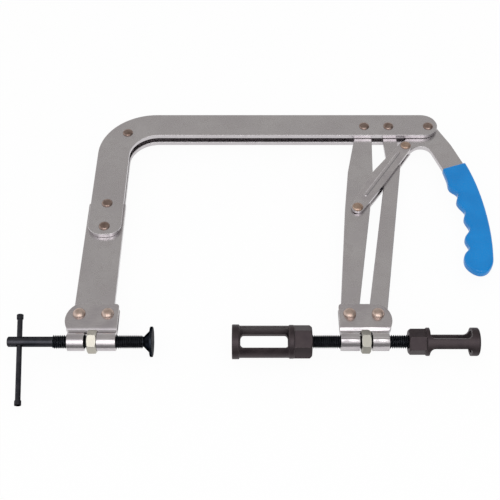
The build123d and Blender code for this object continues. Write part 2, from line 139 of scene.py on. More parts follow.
# %% Thread sizes
pitch = 25.4 / 13 * mm
crest_r = 6.2 * mm
crest_flat = pitch / 10
root_flat = pitch / 10
flank = (pitch - crest_flat - root_flat) / 2
root_r = crest_r - flank / tan(radians(30))
steps_per_turn = 32
print("thread depth:", round((crest_r - root_r) / mm, 2), "mm")


def draw_tooth(start_x):
    """One tooth's outline above the axis: root, flank, crest, flank."""
    bpy.ops.object.select_all(action="DESELECT")
    bpy.ops.mesh.primitive_plane_add(size=pitch, location=(0, 0, 0))
    outline = bpy.context.object
    bpy.ops.object.mode_set(mode="EDIT")
    bpy.ops.mesh.select_mode(type="VERT")
    bpy.ops.mesh.merge(type="CENTER")
    bpy.ops.transform.translate(value=(start_x, 0, root_r))
    for step in ((root_flat, 0), (flank, crest_r - root_r), (crest_flat, 0), (flank, root_r - crest_r)):
        bpy.ops.mesh.extrude_vertices_move(TRANSFORM_OT_translate={"value": (step[0], 0, step[1])})
    bpy.ops.object.mode_set(mode="OBJECT")
    return outline


def turned_bar(x1, x2, radius, bevel, sides=64):
    """A round bar along the screw axis, its two ends bevelled."""
    bpy.ops.object.select_all(action="DESELECT")
    bpy.ops.mesh.primitive_cylinder_add(vertices=sides, radius=radius, depth=x2 - x1,
                                        location=((x1 + x2) / 2, 0, 0), rotation=(0, pi / 2, 0))
    bar = bpy.context.object
    bpy.ops.object.transform_apply(location=True, rotation=True, scale=True)
    bpy.ops.object.mode_set(mode="EDIT")
    bpy.ops.mesh.select_mode(type="FACE")
    bpy.ops.mesh.select_all(action="DESELECT")
    bpy.ops.object.mode_set(mode="OBJECT")
    for face in bar.data.polygons:
        face.select = abs(face.normal.x) > 0.9
    bpy.ops.object.mode_set(mode="EDIT")
    bpy.ops.mesh.bevel(offset=bevel, offset_type="WIDTH", segments=1)
    bpy.ops.object.mode_set(mode="OBJECT")
    return bar


def cut_thread(name, x1, x2, bevel):
    """A threaded bar between two places on the screw axis."""
    turns = int((x2 - x1) / pitch) + 4
    thread = draw_tooth(x1 - 2 * pitch)
    winding = thread.modifiers.new("winding", "SCREW")
    winding.axis = "X"
    winding.angle = 2 * pi
    winding.screw_offset = pitch
    winding.iterations = turns
    winding.steps = winding.render_steps = steps_per_turn
    finish_modifiers(thread)
    bpy.ops.object.mode_set(mode="EDIT")
    bpy.ops.mesh.select_all(action="SELECT")
    bpy.ops.mesh.remove_doubles(threshold=0.001 * mm)
    for place, side in ((x1 - 0.6 * pitch, -1), (x2 + 0.6 * pitch, 1)):
        bpy.ops.mesh.select_all(action="SELECT")
        bpy.ops.mesh.bisect(plane_co=(place, 0, 0), plane_no=(side, 0, 0), clear_outer=True, use_fill=True)
    bpy.ops.mesh.select_all(action="SELECT")
    bpy.ops.mesh.normals_make_consistent(inside=False)
    bpy.ops.object.mode_set(mode="OBJECT")
    blank = turned_bar(x1, x2, crest_r + 0.02 * mm, bevel)
    trim = thread.modifiers.new("trim", "BOOLEAN")
    trim.operation = "INTERSECT"
    trim.solver = "EXACT"
    trim.object = blank
    finish_modifiers(thread)
    bpy.data.objects.remove(blank)
    return seat(thread, name)


stud_low, stud_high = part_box("adapter_stud")
stud = cut_thread("threaded_stud", stud_low[0], stud_high[0], 1.0 * mm)
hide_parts("adapter_stud")
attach(stud, "stud")
print("stud turns:", round((stud_high[0] - stud_low[0]) / pitch, 1))

# %% [markdown]
# The forcing screw has the same thread, a plain shank behind it, and a short neck that goes into
# the pad. The shank is drilled for the tommy bar. The drill is a bar of its own, laid along the
# hole, and a Boolean takes it out. The hole is a little larger than the bar, so the bar lies
# askew in it, as a loose bar does.

# %% Forcing screw
spindle_low, spindle_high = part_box("forcing_spindle")
pad_low, pad_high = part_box("swivel_pad")
bar_low, bar_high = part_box("tommy_bar")
neck_r = 4.6 * mm
neck_length = 0.9 * mm
shank_r = 4.75 * mm
shank_length = 41.5 * mm
hole_from_end = 10.9 * mm
hole_r = 2.888 * mm

thread_end = pad_low[0] - neck_length
thread_start = spindle_low[0] + shank_length
screw = cut_thread("forcing_screw", thread_start, thread_end, 1.0 * mm)
shank = turned_bar(spindle_low[0], thread_start + 2 * mm, shank_r, 1.2 * mm)
neck = turned_bar(thread_end - 1 * mm, spindle_high[0], neck_r, 0.3 * mm)

for joint in frame["joints"]:
    if joint["name"] == "tommy_bar_slide":
        bar_way = Vector(joint["axis"])
hole_way = Vector((0, bar_way.y, bar_way.z)).normalized()
bpy.ops.object.select_all(action="DESELECT")
bpy.ops.mesh.primitive_cylinder_add(vertices=48, radius=hole_r, depth=30 * mm,
                                    location=(spindle_low[0] + hole_from_end, 0, 0),
                                    rotation=hole_way.to_track_quat("Z", "X").to_euler())
drill = bpy.context.object
hole = shank.modifiers.new("hole", "BOOLEAN")
hole.operation = "DIFFERENCE"
hole.solver = "EXACT"
hole.object = drill
finish_modifiers(shank)
bpy.data.objects.remove(drill)
select_only(shank, neck, screw)
bpy.ops.object.join()
seat(screw, "forcing_screw")
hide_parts("forcing_spindle")
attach(screw, "spindle")

# %% [markdown]
# A thread's flanks meet in crisp edges, but its sides are round. Smoothing by angle keeps every
# edge sharper than thirty-five degrees and blends the rest.

# %% Shade the screws
for piece in (stud, screw):
    select_only(piece)
    bpy.ops.object.shade_smooth_by_angle(angle=radians(35))
    print(piece.name, "smoothed, faces:", len(piece.data.polygons))

# %% [markdown]
# ## Folded brackets
# Each bracket is one strip of sheet, folded round the screw. Its two flanges grip the leg or the
# arms. Below the rivets they are pinched together, and then they open into a barrel, so a bright
# slope and a dark crease run above the barrel. The crease is an arc that runs smoothly into both
# the slope and the barrel, which fixes its radius. One line is drawn along the fold and pulled out
# sideways, and Solidify gives it the sheet's thickness, which is how the press made it.

# %% Fold line
sheet = 1.95 * mm
flange_half = 4.75 * mm
flange_top = 40 * mm
barrel_r = 8.5 * mm
pinch_r = 11.6 * mm
pinch_turn = radians(28)
pinch_start = 16.5 * mm


def arc_points(middle, radius, start, end, steps):
    """Points along an arc in a plane, from one angle to another."""
    turns = [start + (end - start) * step / steps for step in range(steps + 1)]
    return [(middle[0] + radius * cos(turn), middle[1] + radius * sin(turn)) for turn in turns]


def draw_line(points, across):
    """A line of edges through points in a plane. Its second coordinate runs along Y or along Z."""
    places = [Vector((0, p[0], p[1])) if across == "YZ" else Vector((p[0], p[1], 0)) for p in points]
    bpy.ops.object.select_all(action="DESELECT")
    bpy.ops.mesh.primitive_plane_add(size=1, location=(0, 0, 0))
    line = bpy.context.object
    bpy.ops.object.mode_set(mode="EDIT")
    bpy.ops.mesh.select_mode(type="VERT")
    bpy.ops.mesh.merge(type="CENTER")
    bpy.ops.transform.translate(value=places[0])
    for before, after in zip(places, places[1:]):
        bpy.ops.mesh.extrude_vertices_move(TRANSFORM_OT_translate={"value": after - before})
    bpy.ops.object.mode_set(mode="OBJECT")
    return line


pinch_arc = arc_points((pinch_start, flange_half - pinch_r), pinch_r, pi / 2, pi / 2 + pinch_turn, 8)
pinch_end = Vector(pinch_arc[-1])
outward = Vector((-sin(pinch_turn), cos(pinch_turn)))
crease_r = (pinch_end.length_squared - barrel_r ** 2) / (2 * (barrel_r - pinch_end.dot(outward)))
crease_middle = pinch_end + outward * crease_r
crease = atan2(crease_middle.y, crease_middle.x)
crease_arc = arc_points(crease_middle, crease_r, pinch_turn - pi / 2, crease - pi, 10)
barrel_arc = arc_points((0, 0), barrel_r, crease, pi, 24)
half_fold = [(flange_top, flange_half)] + pinch_arc + crease_arc[1:] + barrel_arc[1:]
fold_line = half_fold + [(y, -z) for y, z in reversed(half_fold[:-1])]
print("fold points:", len(fold_line), "crease radius:", round(crease_r / mm, 2), "mm at",
      round(degrees(crease), 1), "degrees round the barrel")

# %% [markdown]
# The strip's outline is drawn next: a straight side towards the jaws, and a round lobe on the
# other side. A solid of that outline cuts the sheet, and a second one opens the slot for the nut.
# A narrow bevel leaves the rounded edges that tumbling gives. Weighted normals keep each large face
# shaded as it is formed, or the bevels would bend the reflections all along the barrel.

# %% Bracket
bracket_low, bracket_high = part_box("left_bracket")
barrel_inner = 23.2 * mm
barrel_outer = 21.2 * mm
lobe_r = 21.0 * mm
lobe_x = -4.9 * mm
lobe_y = 22.2 * mm
corner_r = 3.0 * mm
slot_half = 5.9 * mm
slot_root = 9.825 * mm
bracket_x = bracket_high[0] - barrel_inner


def pull_out(line, way):
    """Extrudes a drawn line or face by a distance."""
    select_only(line)
    bpy.ops.object.mode_set(mode="EDIT")
    bpy.ops.mesh.select_all(action="SELECT")
    bpy.ops.mesh.extrude_region_move(TRANSFORM_OT_translate={"value": way})
    bpy.ops.mesh.select_all(action="SELECT")
    bpy.ops.mesh.normals_make_consistent(inside=False)
    bpy.ops.object.mode_set(mode="OBJECT")


def cut(piece, tool, operation):
    """Cuts a closed piece with a closed tool, which the MANIFOLD solver does fast and cleanly."""
    step = piece.modifiers.new("cut", "BOOLEAN")
    step.operation = operation
    step.solver = "MANIFOLD"
    step.object = tool
    finish_modifiers(piece)
    bpy.data.objects.remove(tool)


def round_edges(piece, width):
    """Rounds the sharp edges, and shades the piece so that its large faces stay true to their form."""
    tumbled = piece.modifiers.new("tumbled", "BEVEL")
    tumbled.width = width
    tumbled.segments = 2
    tumbled.limit_method = "ANGLE"
    tumbled.angle_limit = radians(50)
    finish_modifiers(piece)
    bpy.ops.object.shade_smooth_by_angle(angle=radians(35))
    shading = piece.modifiers.new("large_faces_lead", "WEIGHTED_NORMAL")
    shading.weight = 100
    shading.keep_sharp = True
    finish_modifiers(piece)


strip = draw_line(fold_line, "YZ")
pull_out(strip, (60 * mm, 0, 0))
thick = strip.modifiers.new("sheet", "SOLIDIFY")
thick.thickness = sheet
thick.offset = -1
thick.use_even_offset = True
finish_modifiers(strip)
select_only(strip)
bpy.ops.transform.translate(value=(-30 * mm, 0, 0))
bpy.ops.object.transform_apply(location=True, rotation=True, scale=True)

lobe_low = asin((barrel_r - lobe_y) / lobe_r)
lobe_high = asin((flange_top - lobe_y) / lobe_r)
lobe_arc = arc_points((lobe_x, lobe_y), lobe_r, pi - lobe_low, pi - lobe_high, 40)
corner_arc = arc_points((barrel_inner - corner_r, flange_top - corner_r), corner_r, pi / 2, 0, 8)
left_side = [(-barrel_outer, -12 * mm), (-barrel_outer, barrel_r)]
outline = draw_line(left_side + lobe_arc + corner_arc + [(barrel_inner, -12 * mm)], "XY")
bpy.ops.object.mode_set(mode="EDIT")
bpy.ops.mesh.select_all(action="SELECT")
bpy.ops.mesh.edge_face_add()
bpy.ops.object.mode_set(mode="OBJECT")
pull_out(outline, (0, 0, 24 * mm))
select_only(outline)
bpy.ops.transform.translate(value=(0, 0, -12 * mm))
bpy.ops.object.transform_apply(location=True, rotation=True, scale=True)
cut(strip, outline, "INTERSECT")

bpy.ops.object.select_all(action="DESELECT")
bpy.ops.mesh.primitive_cube_add(size=1, location=(0, slot_root - 15 * mm, 0),
                                scale=(2 * slot_half, 30 * mm, 30 * mm))
slot_tool = bpy.context.object
bpy.ops.object.transform_apply(location=True, rotation=True, scale=True)
cut(strip, slot_tool, "DIFFERENCE")
round_edges(strip, 0.35 * mm)

# %% [markdown]
# The other bracket is the same strip turned over, so a copy is mirrored. A mirror turns the faces
# inside out, and the normals are made consistent again afterwards.

# %% Both brackets
select_only(strip)
bpy.ops.object.duplicate()
twin = bpy.context.object
twin.scale.x = -1
twin_low, twin_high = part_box("right_bracket")
strip.location.x = bracket_x
twin.location.x = twin_low[0] + barrel_inner
left_fold = seat(strip, "left_folded_bracket")
right_fold = seat(twin, "right_folded_bracket")
for piece, node, body in ((left_fold, "left_bracket", "frame"),
                          (right_fold, "right_bracket", "right_bracket")):
    select_only(piece)
    bpy.ops.object.mode_set(mode="EDIT")
    bpy.ops.mesh.select_all(action="SELECT")
    bpy.ops.mesh.normals_make_consistent(inside=False)
    bpy.ops.object.mode_set(mode="OBJECT")
    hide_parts(node)
    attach(piece, body)

# %% [markdown]
# ## Pressed links
# Each link is a thin strap, wider in the middle, with one long rib pressed up to stiffen it. Three
# short cylinders give its rivets' ends and its widest place, and the convex hull wraps them as a
# belt would. The rib is the hull of two flattened balls sunk in the face, so its ends are round
# and catch a glint, and its flanks slope gently enough to show one bright and one dark side.

# %% Links
crank_low, crank_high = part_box("link_crank_rivet")
arm_low, arm_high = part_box("link_arm_rivet")
crank_end = (Vector(crank_low) + Vector(crank_high)) / 2
arm_end = (Vector(arm_low) + Vector(arm_high)) / 2
link_run = crank_end - arm_end
link_way = link_run.normalized()
link_side = Vector((-link_way.y, link_way.x, 0))
link_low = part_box("front_link")[0][2]
link_t = 3.0 * mm
link_end_r = 6.6 * mm
link_wide_r = 9.4 * mm
rib_out = 1.2 * mm


def hull_of(makers):
    """The convex hull of several primitives, made in one mesh."""
    bpy.ops.object.select_all(action="DESELECT")
    makers[0]()
    made = bpy.context.object
    bpy.ops.object.transform_apply(location=True, rotation=True, scale=True)
    for make in makers[1:]:
        bpy.ops.object.select_all(action="DESELECT")
        make()
        more = bpy.context.object
        bpy.ops.object.transform_apply(location=True, rotation=True, scale=True)
        select_only(more, made)
        bpy.ops.object.join()
    bpy.ops.object.mode_set(mode="EDIT")
    bpy.ops.mesh.select_all(action="SELECT")
    bpy.ops.mesh.convex_hull()
    bpy.ops.object.mode_set(mode="OBJECT")
    return made


def post(place, radius):
    """A short cylinder as thick as the link."""
    return lambda: bpy.ops.mesh.primitive_cylinder_add(
        vertices=64, radius=radius, depth=link_t, location=(place.x, place.y, link_low + link_t / 2))


def ball(place):
    """A flattened ball, 4.6 mm across and 3.6 mm high, sunk until 0.9 mm of it shows."""
    return lambda: bpy.ops.mesh.primitive_uv_sphere_add(
        segments=48, ring_count=32, radius=2.3 * mm, scale=(1, 1, 1.8 / 2.3),
        location=(place.x, place.y, link_low + link_t - 0.9 * mm))


wide_place = arm_end + link_run * 0.45 + link_side * 1.9 * mm
strap = hull_of([post(arm_end, link_end_r), post(wide_place, link_wide_r), post(crank_end, link_end_r)])
round_edges(strap, 0.35 * mm)
rib_foot = arm_end + link_run * 0.18 + link_side * rib_out
rib_head = arm_end + link_run * 0.86 + link_side * rib_out
rib = hull_of([ball(rib_foot), ball(rib_head)])
bpy.ops.object.shade_smooth_by_angle(angle=radians(35))
select_only(rib, strap)
bpy.ops.object.join()
bpy.ops.object.duplicate()
back = bpy.context.object
back.scale.z = -1
front_link = seat(strap, "front_pressed_link")
rear_link = seat(back, "rear_pressed_link")
for piece, node in ((front_link, "front_link"), (rear_link, "rear_link")):
    select_only(piece)
    bpy.ops.object.mode_set(mode="EDIT")
    bpy.ops.mesh.select_all(action="SELECT")
    bpy.ops.mesh.normals_make_consistent(inside=False)
    bpy.ops.object.mode_set(mode="OBJECT")
    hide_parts(node)
    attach(piece, "link_pair")

# %% [markdown]
# ## The dipped grip
# The handle's tail was dipped in liquid vinyl, which ran into every corner before it set. So the
# skin has no sharp edge at all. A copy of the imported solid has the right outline. It is remeshed
# into even squares and smoothed, which rounds it as surface tension did.

# %% Grip
select_only(nodes["handle_grip"])
bpy.ops.object.duplicate()
grip = bpy.context.object
grip.parent = None
for key in list(grip.keys()):
    del grip[key]
bpy.ops.object.mode_set(mode="EDIT")
bpy.ops.mesh.select_all(action="SELECT")
bpy.ops.mesh.remove_doubles(threshold=0.01 * mm)
bpy.ops.object.mode_set(mode="OBJECT")
skin = grip.modifiers.new("even_squares", "REMESH")
skin.mode = "VOXEL"
skin.voxel_size = 0.7 * mm
flow = grip.modifiers.new("flow", "SMOOTH")
flow.factor = 0.5
flow.iterations = 12
finish_modifiers(grip)
seat(grip, "dipped_grip")
bpy.ops.object.shade_smooth()
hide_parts("handle_grip")
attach(grip, "lever")

# %% [markdown]
# ## Finishes
# A finish is a small graph of nodes. One helper adds a node, sets its options, and gives each
# input either a number or another node's output. Patterns read Object coordinates, in metres, so
# a scale of 1000 divided by a size in millimetres makes a pattern of that size.

# %% Material helpers
def add(finish, kind, inputs=None, **options):
    """Adds one node. An input is given a value, or the output that feeds it."""
    node = finish.node_tree.nodes.new(kind)
    for option, value in options.items():
        setattr(node, option, value)
    connect(finish, node, inputs or {})
    return node


def connect(finish, node, inputs):
    """Sets inputs of a node, by name or number, to values or to other nodes' outputs."""
    for key, value in inputs.items():
        if isinstance(value, bpy.types.NodeSocket):
            finish.node_tree.links.new(value, node.inputs[key])
        else:
            node.inputs[key].default_value = value


def per_mm(size):
    """The scale of a pattern whose features are this many millimetres."""
    return 1000 / size


def new_finish(name):
    """An empty material, its shader, and its coordinates in metres."""
    finish = bpy.data.materials.new(name)
    finish.use_nodes = True
    place = add(finish, "ShaderNodeTexCoord").outputs["Object"]
    return finish, finish.node_tree.nodes["Principled BSDF"], place


def blend(finish, pattern, start, end, first, second):
    """A colour that goes from first to second while the pattern goes from start to end."""
    share = add(finish, "ShaderNodeMapRange", {"Value": pattern, "From Min": start, "From Max": end})
    mixed = add(finish, "ShaderNodeMix", {"Factor": share.outputs["Result"], 6: first, 7: second},
                data_type="RGBA")
    return mixed.outputs[2]


def span(finish, pattern, start, end, first, second):
    """A number that goes from first to second while the pattern goes from start to end."""
    return add(finish, "ShaderNodeMapRange", {"Value": pattern, "From Min": start, "From Max": end,
                                              "To Min": first, "To Max": second}).outputs["Result"]


def stretched(finish, place, x, y, z):
    """Coordinates scaled apart along each axis, for a grain that runs one way."""
    return add(finish, "ShaderNodeMapping", {"Vector": place, "Scale": (x, y, z)}).outputs["Vector"]


def edge_wear_and_sheen(finish, width):
    """A mask for edge wear and painted sheen, 1 on sharp edges: there a rounded normal differs from the real one.
    """
    rounded = add(finish, "ShaderNodeBevel", {"Radius": width}, samples=12)
    real = add(finish, "ShaderNodeNewGeometry")
    match = add(finish, "ShaderNodeVectorMath", {0: rounded.outputs["Normal"], 1: real.outputs["Normal"]},
                operation="DOT_PRODUCT")
    return span(finish, match.outputs["Value"], 0.985, 0.86, 0.0, 1.0), rounded.outputs["Normal"]


# %% [markdown]
# The plates are cold-rolled steel, stamped, tumbled smooth and nickel plated. To the eye that is a
# soft mid-grey mirror: the plate's tone drifts a little from place to place, a fine grain breaks
# up reflections, and faint clouds of thinner plating are duller. Tumbling polishes the edges most,
# so they are shinier than the faces. They are also painted paler, a painted highlight of the light
# that the edges catch.

# %% Satin nickel on rolled steel
rolled, shader, place = new_finish("satin_nickel_on_rolled_steel")
drift = add(rolled, "ShaderNodeTexNoise", {"Vector": place, "Scale": per_mm(40), "Detail": 4.0})
clouds = add(rolled, "ShaderNodeTexNoise", {"Vector": place, "Scale": per_mm(9), "Detail": 3.0})
grain = add(rolled, "ShaderNodeTexNoise", {"Vector": place, "Scale": per_mm(0.45), "Detail": 2.0})
wear_and_sheen, soft_normal = edge_wear_and_sheen(rolled, 0.9 * mm)
plate = blend(rolled, drift.outputs["Fac"], 0.35, 0.65, linear("#C1BCBF"), linear("#C8C4C6"))
plate = blend(rolled, clouds.outputs["Fac"], 0.5, 0.75, plate, linear("#C0BBBD"))
# The edges are painted paler: partly polish, partly a painted highlight of the light they catch.
plate = blend(rolled, wear_and_sheen, 0.0, 1.0, plate, linear("#E2DFDD"))
satin = span(rolled, clouds.outputs["Fac"], 0.35, 0.7, 0.24, 0.29)
satin = add(rolled, "ShaderNodeMix", {"Factor": wear_and_sheen, 2: satin, 3: 0.18}).outputs[0]
relief = add(rolled, "ShaderNodeBump", {"Height": grain.outputs["Fac"], "Strength": 0.25,
                                        "Distance": 0.003 * mm, "Normal": soft_normal})
connect(rolled, shader, {"Base Color": plate, "Metallic": 1.0, "Roughness": satin,
                         "Normal": relief.outputs["Normal"]})

# %% [markdown]
# The brackets have the same nickel on thinner sheet, folded round a barrel. The sheet keeps the
# fine lines of its rolling, which run along the barrel. Across them the reflection spreads, so the
# round part shows long straight streaks instead of one clean glint.

# %% Satin nickel on folded sheet
folded, shader, place = new_finish("satin_nickel_on_folded_sheet")
drift = add(folded, "ShaderNodeTexNoise", {"Vector": place, "Scale": per_mm(16), "Detail": 3.0})
along = stretched(folded, place, per_mm(60), per_mm(0.8), per_mm(0.8))
lines = add(folded, "ShaderNodeTexNoise", {"Vector": along, "Scale": 1.0, "Detail": 2.0})
wear_and_sheen, soft_normal = edge_wear_and_sheen(folded, 0.5 * mm)
sheet = blend(folded, drift.outputs["Fac"], 0.35, 0.65, linear("#B9B3B7"), linear("#C6C1C3"))
# The edges are painted paler: partly polish, partly a painted highlight of the light they catch.
sheet = blend(folded, wear_and_sheen, 0.0, 1.0, sheet, linear("#E4E1DF"))
satin = span(folded, lines.outputs["Fac"], 0.3, 0.7, 0.2, 0.29)
relief = add(folded, "ShaderNodeBump", {"Height": lines.outputs["Fac"], "Strength": 0.3,
                                        "Distance": 0.01 * mm, "Normal": soft_normal})
connect(folded, shader, {"Base Color": sheet, "Metallic": 1.0, "Roughness": satin,
                         "Normal": relief.outputs["Normal"]})

# %% [markdown]
# The links are pressed from the same plated sheet. Their rolling lines run along the strap, which
# leans, so the pattern is turned by the strap's own angle before it is stretched.

# %% Satin nickel on pressed sheet
pressed, shader, place = new_finish("satin_nickel_on_pressed_sheet")
lean_angle = -link_way.to_2d().angle_signed((1, 0))
lean = add(pressed, "ShaderNodeMapping", {"Vector": place, "Rotation": (0, 0, lean_angle)})
along = stretched(pressed, lean.outputs["Vector"], per_mm(18), per_mm(0.7), per_mm(0.7))
lines = add(pressed, "ShaderNodeTexNoise", {"Vector": along, "Scale": 1.0, "Detail": 2.0})
drift = add(pressed, "ShaderNodeTexNoise", {"Vector": place, "Scale": per_mm(14), "Detail": 3.0})
wear_and_sheen, soft_normal = edge_wear_and_sheen(pressed, 0.5 * mm)
press = blend(pressed, drift.outputs["Fac"], 0.35, 0.65, linear("#BDB7BB"), linear("#C8C3C5"))
# The edges are painted paler: partly polish, partly a painted highlight of the light they catch.
press = blend(pressed, wear_and_sheen, 0.0, 1.0, press, linear("#E4E1DF"))
satin = span(pressed, lines.outputs["Fac"], 0.3, 0.7, 0.22, 0.3)
relief = add(pressed, "ShaderNodeBump", {"Height": lines.outputs["Fac"], "Strength": 0.15,
                                         "Distance": 0.006 * mm, "Normal": soft_normal})
connect(pressed, shader, {"Base Color": press, "Metallic": 1.0, "Roughness": satin,
                          "Normal": relief.outputs["Normal"]})

# %% [markdown]
# The rivets were set after plating. A copper wash keeps rust off them, and setting rubs it thin.
# The heads of the brackets' rivets are smooth domes of a pale pinkish beige. The frame's rivets
# were struck harder: their crowns are browner and full of small dents, whose sides glint. The
# patches of copper are a few millimetres wide, about half a head.

# %% Copper-washed rivet steel
def copper_wash(name, thin, thick, dent_depth, smooth, rough):
    """Copper-washed steel: two tones in patches, and dents from the rivet set."""
    finish, shader, place = new_finish(name)
    patches = add(finish, "ShaderNodeTexNoise", {"Vector": place, "Scale": per_mm(5), "Detail": 3.0})
    dents = add(finish, "ShaderNodeTexVoronoi", {"Vector": place, "Scale": per_mm(1.6)}, feature="SMOOTH_F1")
    dome = blend(finish, patches.outputs["Fac"], 0.35, 0.65, linear(thin), linear(thick))
    satin = span(finish, patches.outputs["Fac"], 0.3, 0.7, smooth, rough)
    relief = add(finish, "ShaderNodeBump", {"Height": dents.outputs["Distance"], "Strength": 0.6,
                                            "Distance": dent_depth})
    connect(finish, shader, {"Base Color": dome, "Metallic": 1.0, "Roughness": satin,
                             "Normal": relief.outputs["Normal"]})
    return finish


smooth_copper = copper_wash("copper_wash_on_smooth_domes", "#C8B5AB", "#BAA397", 0.03 * mm, 0.3, 0.38)
link_copper = copper_wash("copper_wash_on_link_rivets", "#BBA393", "#A78D7D", 0.06 * mm, 0.26, 0.36)
struck_copper = copper_wash("copper_wash_on_struck_heads", "#9A877F", "#806C64", 0.25 * mm, 0.12, 0.2)

# %% [markdown]
# Zinc goes on as small crystals, so the nuts glitter a little where they catch the light. The
# clear chromate over it leaves a faint warm tint, and a spanner has rubbed the corners bright. The
# nut on the lever's side was turned more often, so its plate is greyer and duller.

# %% Zinc plate
def zinc_plate(name, thin, thick, smooth, rough):
    """Zinc plate: haze in two tones, fine crystals, and bright rubbed corners."""
    finish, shader, place = new_finish(name)
    crystals = add(finish, "ShaderNodeTexVoronoi", {"Vector": place, "Scale": per_mm(0.8)})
    haze = add(finish, "ShaderNodeTexNoise", {"Vector": place, "Scale": per_mm(6), "Detail": 3.0})
    wear_and_sheen, soft_normal = edge_wear_and_sheen(finish, 0.6 * mm)
    plate = blend(finish, haze.outputs["Fac"], 0.35, 0.65, linear(thin), linear(thick))
    plate = blend(finish, wear_and_sheen, 0.0, 1.0, plate, linear("#F0EEEA"))
    satin = span(finish, haze.outputs["Fac"], 0.3, 0.7, smooth, rough)
    relief = add(finish, "ShaderNodeBump", {"Height": crystals.outputs["Distance"], "Strength": 0.25,
                                            "Distance": 0.015 * mm, "Normal": soft_normal})
    connect(finish, shader, {"Base Color": plate, "Metallic": 1.0, "Roughness": satin,
                             "Normal": relief.outputs["Normal"]})
    return finish


bright_zinc = zinc_plate("bright_zinc_plate", "#ADA99F", "#BBB7AD", 0.26, 0.4)
dull_zinc = zinc_plate("dull_zinc_plate", "#94928A", "#A09D95", 0.34, 0.46)

# %% [markdown]
# The screws, the pad and the tommy bar were blackened in a hot salt bath and oiled. The black is a
# thin skin on steel. Threads hold oil and look nearly black, with a bluish cast. Plain turned bars
# are wiped and handled, so they are greyer, with a clearer line of light. On both, the skin rubs
# off first on crests and rims, where grey steel shows through.

# %% Black oxide on steel
def black_oxide(name, whole, thin, rubbed, smooth, rough):
    """Blackened steel: tones where oil has dried, turning marks, and rubbed edges."""
    finish, shader, place = new_finish(name)
    oil = add(finish, "ShaderNodeTexNoise", {"Vector": place, "Scale": per_mm(7), "Detail": 4.0})
    rings = stretched(finish, place, per_mm(0.4), per_mm(8), per_mm(8))
    turning = add(finish, "ShaderNodeTexNoise", {"Vector": rings, "Scale": 1.0, "Detail": 2.0})
    wear_and_sheen, soft_normal = edge_wear_and_sheen(finish, 0.25 * mm)
    black = blend(finish, oil.outputs["Fac"], 0.35, 0.65, linear(whole), linear(thin))
    black = blend(finish, wear_and_sheen, 0.2, 1.0, black, linear(rubbed))
    satin = span(finish, oil.outputs["Fac"], 0.3, 0.7, smooth, rough)
    relief = add(finish, "ShaderNodeBump", {"Height": turning.outputs["Fac"], "Strength": 0.4,
                                            "Distance": 0.01 * mm, "Normal": soft_normal})
    connect(finish, shader, {"Base Color": black, "Metallic": 1.0, "Roughness": satin,
                             "Specular Tint": linear("#77787C"), "Normal": relief.outputs["Normal"]})
    return finish


oiled_threads = black_oxide("black_oxide_on_oiled_threads", "#1D2026", "#2A2D34", "#85888F", 0.28, 0.4)
turned_bars = black_oxide("black_oxide_on_turned_bars", "#36373C", "#454449", "#77767A", 0.3, 0.4)

# %% [markdown]
# The two adapters are castings that were machined where they matter, then phosphated. Phosphate
# grows as fine dark crystals that hold oil. It looks soft and slightly brown, almost like a dark
# ceramic, with a broad sheen instead of a glint, and it wears paler along the edges.

# %% Phosphated cast steel
phosphated, shader, place = new_finish("phosphated_cast_steel")
stains = add(phosphated, "ShaderNodeTexNoise", {"Vector": place, "Scale": per_mm(11), "Detail": 4.0})
crystals = add(phosphated, "ShaderNodeTexNoise", {"Vector": place, "Scale": per_mm(0.5), "Detail": 3.0})
wear_and_sheen, soft_normal = edge_wear_and_sheen(phosphated, 0.5 * mm)
coat = blend(phosphated, stains.outputs["Fac"], 0.35, 0.65, linear("#423B3E"), linear("#4E4648"))
coat = blend(phosphated, wear_and_sheen, 0.1, 1.0, coat, linear("#6A6262"))
matt = span(phosphated, stains.outputs["Fac"], 0.3, 0.7, 0.46, 0.58)
relief = add(phosphated, "ShaderNodeBump", {"Height": crystals.outputs["Fac"], "Strength": 0.5,
                                            "Distance": 0.02 * mm, "Normal": soft_normal})
connect(phosphated, shader, {"Base Color": coat, "Metallic": 1.0, "Roughness": matt,
                             "Normal": relief.outputs["Normal"]})

# %% [markdown]
# The grip is liquid vinyl, dipped and cured. Its gloss is clear and even, and under it the surface
# rolls very gently, as a thick paint does. The pigment is a little deeper where the skin is thick.

# %% Dipped vinyl
vinyl, shader, place = new_finish("dipped_blue_vinyl")
depth = add(vinyl, "ShaderNodeTexNoise", {"Vector": place, "Scale": per_mm(22), "Detail": 2.0})
orange_peel = add(vinyl, "ShaderNodeTexNoise", {"Vector": place, "Scale": per_mm(2.6), "Detail": 2.0})
handling = add(vinyl, "ShaderNodeTexNoise", {"Vector": place, "Scale": per_mm(5), "Detail": 4.0})
blue = blend(vinyl, depth.outputs["Fac"], 0.35, 0.65, linear("#007DC8"), linear("#0484D0"))
gloss = span(vinyl, handling.outputs["Fac"], 0.35, 0.7, 0.1, 0.17)
relief = add(vinyl, "ShaderNodeBump", {"Height": orange_peel.outputs["Fac"], "Strength": 0.3,
                                       "Distance": 0.05 * mm})
connect(vinyl, shader, {"Base Color": blue, "Roughness": gloss, "IOR": 1.42,
                        "Normal": relief.outputs["Normal"]})

# %% [markdown]
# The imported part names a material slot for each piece. Each slot now gets its finish, and the
# pieces made here take the finish of the slot that they replace. A few pieces differ within their
# slot: the frame's struck rivets, the links with their rivets, the duller nut, and the plain turned
# bars. On the forcing screw, the faces behind the thread take the bars' finish.

